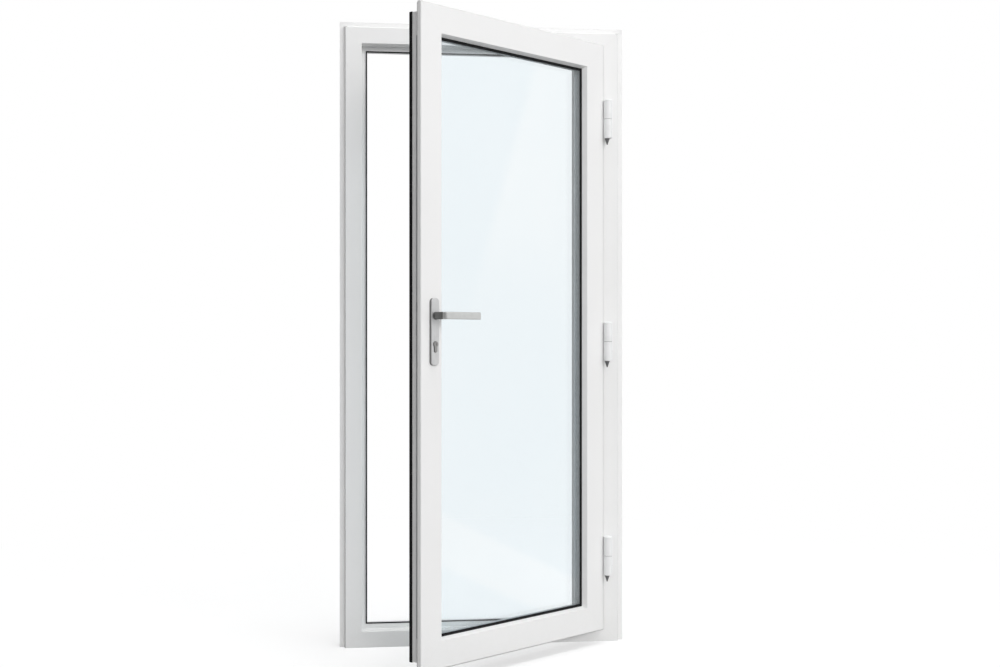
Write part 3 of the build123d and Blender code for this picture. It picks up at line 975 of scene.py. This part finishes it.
@dataclass
class GlassUnit(Assembly):
    """Two panes, the spacer between them, the sealant behind it and the glazing seals."""

    sealant_run: float = 4.8 * MM
    sealant_gap: float = 0.1 * MM
    lip_run: float = 4.6 * MM
    lip_rise: float = 1.2 * MM
    lip_play: float = 0.05 * MM

    def build(self) -> None:
        """Dress the unit and add its sealant and the front seal's lip."""
        dress(self.palette.glass, "glass_front", "glass_rear")
        dress(self.palette.spacer_bar, "glass_spacer")
        dress(self.palette.rubber_seal, "glazing_seal_front")
        dress(self.palette.bead_seal, "glazing_seal_rear")
        self.build_sealant()
        self.build_gasket_lip()

    def build_sealant(self) -> None:
        """Black sealant behind the spacer, seen from the unit's edges."""
        low, high = self.bench.layout.closed_box("glass_spacer")
        start, end = low.y + self.sealant_gap, high.y - self.sealant_gap
        outline = [
            (-self.sealant_gap, start),
            (-self.sealant_gap, end),
            (-self.sealant_run, end),
            (-self.sealant_run, start),
        ]
        mesh = self.window_ring(low, high, outline)
        self.bench.finish_piece(
            "edge_sealant", "leaf", self.palette.rubber_seal, mesh, "rubber_seal"
        )

    def build_gasket_lip(self) -> None:
        """Thin inner lip of the front seal, which lies on the pane."""
        low, high = self.bench.layout.closed_box("glass_spacer")
        pane = self.bench.layout.closed_box("glass_front")[0].y
        points = self.bench.layout.closed_points("glazing_seal_front")
        inset = high.x - min(abs(p.x) for p in points)
        rise = self.lip_rise
        outline = [
            (inset - self.lip_play, pane - self.lip_play),
            (inset + self.lip_run, pane - self.lip_play),
            (inset + self.lip_run, pane - 0.4 * rise),
            (inset + 0.6 * self.lip_run, pane - rise),
            (inset - self.lip_play, pane - rise),
        ]
        mesh = self.window_ring(low, high, outline)
        self.bench.finish_piece("gasket_lip", "leaf", self.palette.rubber_seal, mesh, "rubber_seal")

    def window_ring(
        self, low: Vector, high: Vector, outline: Sequence[tuple[float, float]]
    ) -> bmesh.types.BMesh:
        """Mitred ring of one outline round a rectangle, the door closed.

        Args:
            low: Lowest corner of the rectangle.
            high: Highest corner of the rectangle.
            outline: Inset from the rectangle and Y position of each corner of the outline.

        Returns:
            The ring's mesh.
        """
        mesh = bmesh.new()
        rings = []
        for inset, y in outline:
            corners = (
                (low.x + inset, low.z + inset),
                (high.x - inset, low.z + inset),
                (high.x - inset, high.z - inset),
                (low.x + inset, high.z - inset),
            )
            rings.append([mesh.verts.new((x, y, z)) for x, z in corners])
        for first, second in zip(rings, rings[1:] + rings[:1]):
            join_loops(mesh, first, second)
        return mesh


@dataclass
class Hinges(Assembly):
    """Three barrel hinges with plugs, washers, tapered necks and screws; necks and washers are near
    black as painted shade.
    """

    places: tuple[str, ...] = ("bottom", "middle", "top")
    plug_radius: float = 8.2 * MM
    plug_rise: float = 1.2 * MM
    washer_inset: float = 0.9 * MM
    washer_play: float = 0.05 * MM
    neck_radius: float = 8.4 * MM
    neck_length: float = 22.0 * MM
    neck_offset: float = 3.0 * MM
    pin_play: float = 0.3 * MM
    plate_screw: float = 3.4 * MM
    screw_spread: float = 18.0 * MM
    screw_inset: float = 6.12 * MM
    adjuster: float = 3.0 * MM

    def plug(self) -> Turned:
        """Shallow domed plug in a knuckle's end."""
        return Turned(
            (
                (self.plug_radius, -0.2 * MM),
                (self.plug_radius, 0.5 * self.plug_rise),
                (0.88 * self.plug_radius, 0.9 * self.plug_rise),
                (0.5 * self.plug_radius, self.plug_rise),
                (0.0, 1.05 * self.plug_rise),
            )
        )

    def washer(self, outer: float, inner: float, height: float) -> Turned:
        """Flat ring that fills the seam between two knuckles.

        Args:
            outer: Radius of its rim.
            inner: Radius of its hole.
            height: Its thickness.

        Returns:
            The ring's outline.
        """
        rim = 0.2 * height
        corners = (
            (inner, 0.0),
            (outer - rim, 0.0),
            (outer, rim),
            (outer, height - rim),
            (outer - rim, height),
            (inner, height),
            (inner, 0.0),
        )
        return Turned(corners)

    def neck(self) -> Turned:
        """Tapered neck under the lower knuckle."""
        steps = ((1.0, -0.01), (1.0, 0.08), (0.88, 0.2), (0.62, 0.45), (0.36, 0.75), (0.2, 0.96))
        outline = [(r * self.neck_radius, h * self.neck_length) for r, h in steps]
        return Turned((*outline, (0.0, self.neck_length)))

    def plate_face(self, place: str) -> float:
        """Outer face of the leaf's hinge plate with the door closed.

        Args:
            place: Which of the three hinges.

        Returns:
            Its X position.
        """
        points = self.bench.layout.closed_points(f"hinge_leaf_{place}")
        rear = max(p.y for p in points)
        return max(p.x for p in points if p.y > rear - MM)

    def build(self) -> None:
        """Dress the three hinges and add their small pieces."""
        for place in self.places:
            dress(self.palette.hinge_coating, f"hinge_frame_{place}", f"hinge_leaf_{place}")
            dress(self.palette.pin_steel, f"hinge_pin_{place}")
            self.build_details(place)

    def build_details(self, place: str) -> None:
        """Add neck, washer, plug, adjusting screw and plate screws to one hinge.

        Args:
            place: Which of the three hinges.
        """
        pivot = self.bench.layout.pivot
        coating = self.palette.hinge_coating
        low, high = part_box(f"hinge_frame_{place}")
        below = facing((pivot.x, pivot.y, low.z), (0, 0, -1))
        below.translation.x -= self.neck_offset
        # Painted shade: neck and washer are real shapes in a near-black finish that stands for the
        # shade under the knuckle and in the seam.
        shade = self.palette.neck_shade
        self.bench.assemble(
            f"hinge_neck_{place}", "frame", shade, [(self.neck(), below)], "hinge_coating"
        )
        pin_low, pin_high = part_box(f"hinge_pin_{place}")
        barrel = high.x - pivot.x - self.washer_inset
        hole = (pin_high.x - pin_low.x) / 2 + self.pin_play
        seam = self.bench.layout.closed_box(f"hinge_leaf_{place}")[0].z - high.z
        washer = self.washer(barrel, hole, seam - 2 * self.washer_play)
        between = facing((pivot.x, pivot.y, high.z + self.washer_play), (0, 0, 1))
        self.bench.assemble(
            f"hinge_washer_{place}", "frame", shade, [(washer, between)], "hinge_coating"
        )
        spot = (high.x, pivot.y, (low.z + high.z) / 2)
        self.bench.assemble(
            f"hinge_adjuster_{place}",
            "frame",
            self.palette.pin_steel,
            [(Screw(self.adjuster, Recess.HEX), facing(spot, (1, 0, 0)))],
            "pin_steel",
        )
        low, high = self.bench.layout.closed_box(f"hinge_leaf_{place}")
        above = facing((pivot.x, pivot.y, high.z), (0, 0, 1))
        self.bench.assemble(
            f"hinge_plug_upper_{place}", "leaf", coating, [(self.plug(), above)], "hinge_coating"
        )
        mid_z = (low.z + high.z) / 2
        screw_y = high.y - self.screw_inset
        heads = [
            (
                Screw(self.plate_screw, Recess.CROSS),
                facing((self.plate_face(place), screw_y, mid_z + offset), (1, 0, 0)),
            )
            for offset in (-self.screw_spread, self.screw_spread)
        ]
        self.bench.assemble(
            f"hinge_screws_{place}", "leaf", self.palette.pin_steel, heads, "pin_steel"
        )


@dataclass
class HandleSet(Assembly):
    """Plates on both faces, the lever, its spindle and the lock cylinder."""

    plug_radius: float = 6.4 * MM
    grub_radius: float = 2.2 * MM
    neck_depth: float = 22.0 * MM

    def build(self) -> None:
        """Dress the handle set and add its small pieces."""
        palette = self.palette
        dress(palette.handle_satin, "backplate_front", "backplate_rear")
        dress(palette.lever_satin, "lever")
        dress(palette.pin_steel, "spindle")
        dress(palette.cylinder_nickel, "cylinder")
        self.build_cylinder_faces()
        self.build_grub_screw()

    def build_cylinder_faces(self) -> None:
        """Raised rim round the turning plug at both ends of the cylinder."""
        low, high = self.bench.layout.closed_box("cylinder")
        barrel = (high.x - low.x) / 2
        centre = ((low.x + high.x) / 2, high.z - barrel)
        rim = Turned(
            (
                (self.plug_radius - 0.5 * MM, -0.1 * MM),
                (self.plug_radius - 0.4 * MM, 0.3 * MM),
                (self.plug_radius, 0.35 * MM),
                (self.plug_radius + 0.3 * MM, -0.1 * MM),
            )
        )
        for side, y in ((Side.FRONT, low.y), (Side.REAR, high.y)):
            where = facing((centre[0], y, centre[1]), (0, side.value, 0))
            self.bench.assemble(
                f"cylinder_rim_{side.name.lower()}",
                "leaf",
                self.palette.cylinder_nickel,
                [(rim, where)],
                "cylinder_nickel",
            )

    def build_grub_screw(self) -> None:
        """Small hexagon screw under the lever's neck."""
        low = self.bench.layout.closed_box("lever")[0]
        plate_low, plate_high = self.bench.layout.closed_box("backplate_front")
        spot = ((plate_low.x + plate_high.x) / 2, plate_low.y - self.neck_depth, low.z)
        head = Screw(self.grub_radius, Recess.HEX, proud=0.05 * MM, rim=0.2 * MM)
        self.bench.assemble(
            "lever_grub_screw",
            "lever_set",
            self.palette.pin_steel,
            [(head, facing(spot, (0, 0, -1)))],
            "pin_steel",
        )


@dataclass
class LockHardware(Assembly):
    """Faceplate, bolts and keeps with their screws."""

    head_radius: float = 3.7 * MM
    keep_inset: float = 9.0 * MM
    first_screw: float = 14.0 * MM
    screw_count: int = 8

    def build(self) -> None:
        """Dress the lock and add its screws."""
        steel = self.palette.lock_steel
        dress(steel, "lock_faceplate", "latch_bolt", "dead_bolt", "hook_bolts")
        dress(steel, "keep_centre", "keep_lower", "keep_upper")
        self.build_faceplate_screws()
        for keep in ("keep_centre", "keep_lower", "keep_upper"):
            self.build_keep_screws(keep)

    def build_faceplate_screws(self) -> None:
        """Row of countersunk screws down the faceplate, clear of its bolts."""
        low, high = self.bench.layout.closed_box("lock_faceplate")
        middle = (low.y + high.y) / 2
        start, end = low.z + self.first_screw, high.z - self.first_screw
        step = (end - start) / (self.screw_count - 1)
        heads = [
            (
                Screw(self.head_radius, Recess.CROSS),
                facing((low.x, middle, start + step * k), (-1, 0, 0)),
            )
            for k in range(self.screw_count)
        ]
        self.bench.assemble(
            "faceplate_screws", "leaf", self.palette.lock_steel, heads, "lock_steel"
        )

    def build_keep_screws(self, keep: str) -> None:
        """Screw at each end of a keep.

        Args:
            keep: Name of the keep's CAD node.
        """
        low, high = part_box(keep)
        middle = (low.y + high.y) / 2
        heads = [
            (Screw(self.head_radius, Recess.CROSS), facing((high.x, middle, z), (1, 0, 0)))
            for z in (low.z + self.keep_inset, high.z - self.keep_inset)
        ]
        self.bench.assemble(f"{keep}_screws", "frame", self.palette.lock_steel, heads, "lock_steel")


# Studio


@dataclass(frozen=True)
class Lamp:
    """A soft light far off in one direction."""

    name: str
    direction: tuple[float, float, float]
    strength: float
    angle: float
    shadow: bool = True

    def make(self) -> None:
        """Add the light to the scene."""
        data = bpy.data.lights.new(self.name, "SUN")
        data.use_shadow = self.shadow
        data.energy = self.strength
        data.angle = math.radians(self.angle)
        lamp = bpy.data.objects.new(self.name, data)
        lamp.rotation_mode = "QUATERNION"
        lamp.rotation_quaternion = Vector(self.direction).to_track_quat("Z", "Y")
        lamp.visible_glossy = False
        bpy.context.scene.collection.objects.link(lamp)


@dataclass
class Studio:
    """Pale floor, white surroundings, soft lights and the camera."""

    floor_reach: float = 60.0
    floor_fade: tuple[float, float] = (1.1, 3.2)
    floor_bounce: Colour = (0.40, 0.40, 0.40)
    floor_lift: float = 0.5
    glow: float = 0.55
    least_glow: float = 0.02
    gloss_glow: float = 1.0
    gloss_side: tuple[float, float] = (0.2, 0.9)
    panel_power: float = 17.0
    panel_size: float = 1.6
    panel_place: tuple[float, float, float] = (1.3, -3.2, 3.2)
    panel_aim: tuple[float, float, float] = (0.0, -0.2, 1.6)
    camera_place: tuple[float, float, float] = (-0.4869, -4.4987, 1.0297)
    camera_yaw: float = 0.1213
    focal_px: float = 1324.18
    image_width: float = 1000.0
    image_middle: float = 333.5
    horizon_px: float = 340.61
    sensor: float = 36.0
    lamps: tuple[Lamp, ...] = (
        Lamp("left_light", (-0.49, -0.86, 0.14), 0.25, 3.0),
        Lamp("front_light", (0.20, -0.95, 0.25), 0.66, 20.0),
        Lamp("right_light", (0.66, -0.72, 0.26), 1.10, 45.0),
        Lamp("top_light", (0.05, -0.05, 1.0), 1.50, 24.0),
        Lamp("back_light", (0.0, 1.0, 0.12), 1.3, 10.0, shadow=False),
    )

    def build(self) -> None:
        """Set up floor, surroundings, lights and camera."""
        self.build_floor()
        self.build_world()
        for lamp in self.lamps:
            lamp.make()
        self.build_panel()
        self.build_camera()

    def build_floor(self) -> None:
        """Pale floor, a stage, that runs to plain white away from the door."""
        mesh = bmesh.new()
        bmesh.ops.create_grid(mesh, x_segments=1, y_segments=1, size=self.floor_reach)
        data = bpy.data.meshes.new("studio_floor")
        mesh.to_mesh(data)
        mesh.free()
        graph = Graph.of_material("studio_floor")
        place = graph.place()
        grain = graph.noise(place, 4.0)
        seen = graph.node("ShaderNodeLightPath", output="Is Camera Ray")
        reach = graph.node("ShaderNodeVectorMath", {"operation": "LENGTH"}, {0: place}, "Value")
        shining = graph.node("ShaderNodeLightPath", output="Is Glossy Ray")
        right = graph.parts(place)[0] * reach.power(-1)
        direct = seen.most(shining * right.smooth(*self.gloss_side))
        far = reach.smooth(*self.floor_fade) * (1 - self.floor_lift) + self.floor_lift
        black, white = (0.0, 0.0, 0.0), (1.0, 1.0, 1.0)
        pale = graph.blend(grain, (0.98, 0.98, 0.98), (0.96, 0.96, 0.965))
        colour = graph.blend(direct, self.floor_bounce, graph.blend(far, pale, black))
        data.materials.append(
            graph.surface(
                Base_Color=colour,
                Roughness=0.9,
                Specular_IOR_Level=0.0,
                Emission_Color=graph.blend(far * direct, black, white),
                Emission_Strength=1.0,
            )
        )
        floor = bpy.data.objects.new("studio_floor", data)
        bpy.context.scene.collection.objects.link(floor)
        floor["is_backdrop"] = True

    def build_world(self) -> None:
        """White for the camera, a glow from above for light, and white at right for gloss."""
        world = bpy.data.worlds.new("studio")
        bpy.context.scene.world = world
        graph = Graph(world)
        toward = graph.node("ShaderNodeTexCoord", output="Generated")
        right, _, height = graph.parts(toward)
        shining = graph.node("ShaderNodeLightPath", output="Is Glossy Ray")
        glow = (self.glow * height).most(self.least_glow)
        glow = glow + shining * right.smooth(*self.gloss_side) * self.gloss_glow
        seen = graph.node("ShaderNodeLightPath", output="Is Camera Ray")
        dim = graph.node("ShaderNodeBackground", {}, {"Color": (1, 1, 1), "Strength": glow})
        white = graph.node("ShaderNodeBackground", {}, {"Color": (1, 1, 1), "Strength": 1.0})
        both = graph.node("ShaderNodeMixShader", {}, {0: seen, 1: dim, 2: white})
        graph.close(both, "ShaderNodeOutputWorld")

    def build_panel(self) -> None:
        """Square soft light up and to the right, which makes the door's upper half brighter."""
        data = bpy.data.lights.new("panel_light", "AREA")
        data.energy = self.panel_power
        data.size = self.panel_size
        panel = bpy.data.objects.new("panel_light", data)
        panel.location = self.panel_place
        aim = Vector(self.panel_aim) - Vector(self.panel_place)
        panel.rotation_mode = "QUATERNION"
        panel.rotation_quaternion = aim.to_track_quat("-Z", "Y")
        bpy.context.scene.collection.objects.link(panel)

    def build_camera(self) -> None:
        """Camera at the picture's viewpoint."""
        data = bpy.data.cameras.new("camera")
        data.sensor_width = self.sensor
        data.lens = self.focal_px * self.sensor / self.image_width
        data.shift_y = (self.horizon_px - self.image_middle) / self.image_width
        camera = bpy.data.objects.new("camera", data)
        camera.location = self.camera_place
        camera.rotation_euler = (math.radians(90), 0.0, -self.camera_yaw)
        bpy.context.scene.collection.objects.link(camera)
        bpy.context.scene.camera = camera


def main() -> None:
    """Build the dressed door in its studio."""
    logging.basicConfig(level=logging.INFO, format="%(message)s")
    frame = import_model()
    layout = Layout.from_frame(frame)
    palette = Palette.make(layout)
    bench = Bench(layout)
    for assembly in (
        OuterFrame(palette, bench),
        Leaf(palette, bench),
        GlassUnit(palette, bench),
        Hinges(palette, bench),
        HandleSet(palette, bench),
        LockHardware(palette, bench),
    ):
        known = {o.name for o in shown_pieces()}
        assembly.build()
        added = [o.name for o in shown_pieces() if o.name not in known]
        LOG.info("%s: %s", type(assembly).__name__, ", ".join(added) or "dressed")
    Studio().build()
    bpy.context.scene.view_settings.view_transform = "Standard"


if __name__ == "__main__":
    main()
